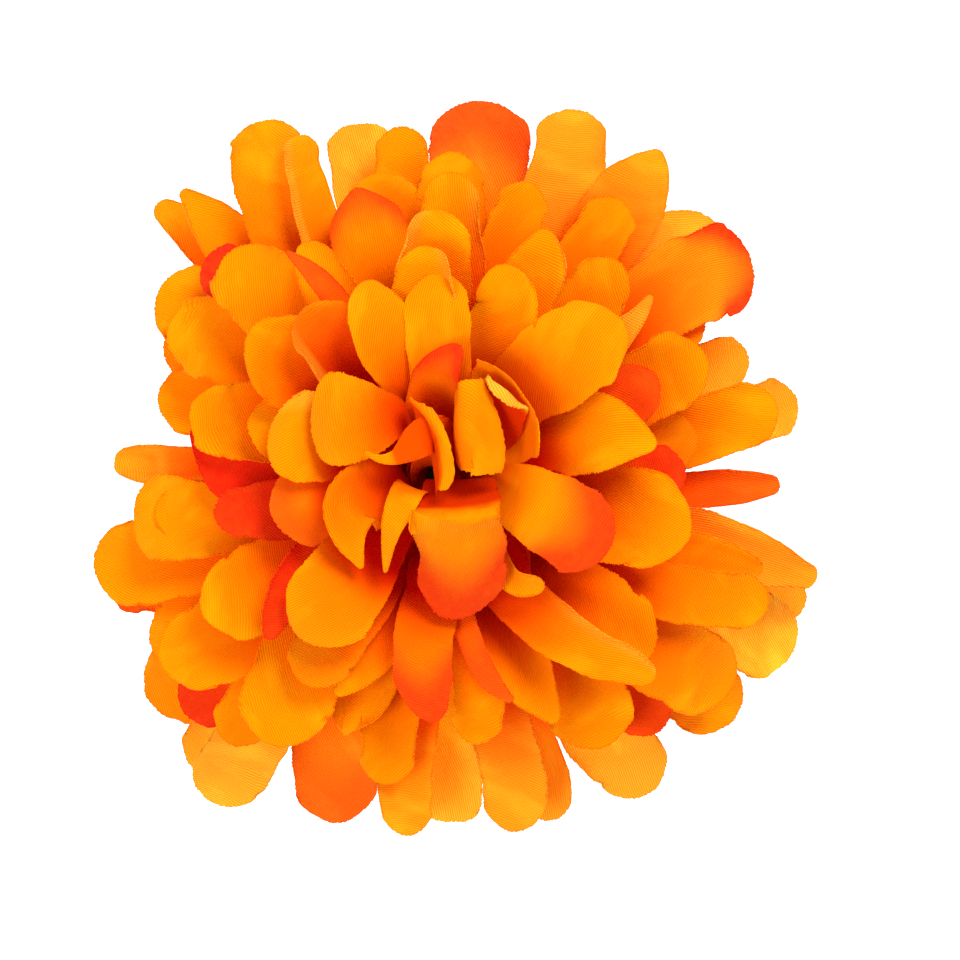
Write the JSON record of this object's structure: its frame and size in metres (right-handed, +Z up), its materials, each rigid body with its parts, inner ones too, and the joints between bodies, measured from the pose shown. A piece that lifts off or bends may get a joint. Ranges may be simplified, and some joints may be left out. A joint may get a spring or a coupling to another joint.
{
  "type": "artificial chrysanthemum flower head",
  "caption": "Round cloth chrysanthemum bloom, face up: nested rounds of broad orange and red petals on a moulded green calyx with a flat foot.",
  "frame": {"origin": "middle of the calyx's flat foot, on which the bloom rests", "axes": "+Z up the flower's axis, out of its face; +Y towards the top of the picture, +X towards its right"},
  "size_m": [0.1003, 0.1036, 0.0455],
  "materials": {
    "petal_cloth": "fine ribbed polyester cloth, soft sheen, dyed orange with red on some ends",
    "calyx_plastic": "moulded, leaf green"
  },
  "bodies": {
    "root": {"calyx": "calyx_plastic", "petal_round_1": "petal_cloth", "petal_round_2": "petal_cloth", "petal_round_3": "petal_cloth", "petal_round_4": "petal_cloth", "petal_round_5": "petal_cloth", "petal_round_6": "petal_cloth", "petal_round_7": "petal_cloth", "petal_round_8": "petal_cloth", "petal_round_9": "petal_cloth"}
  },
  "joints": []
}
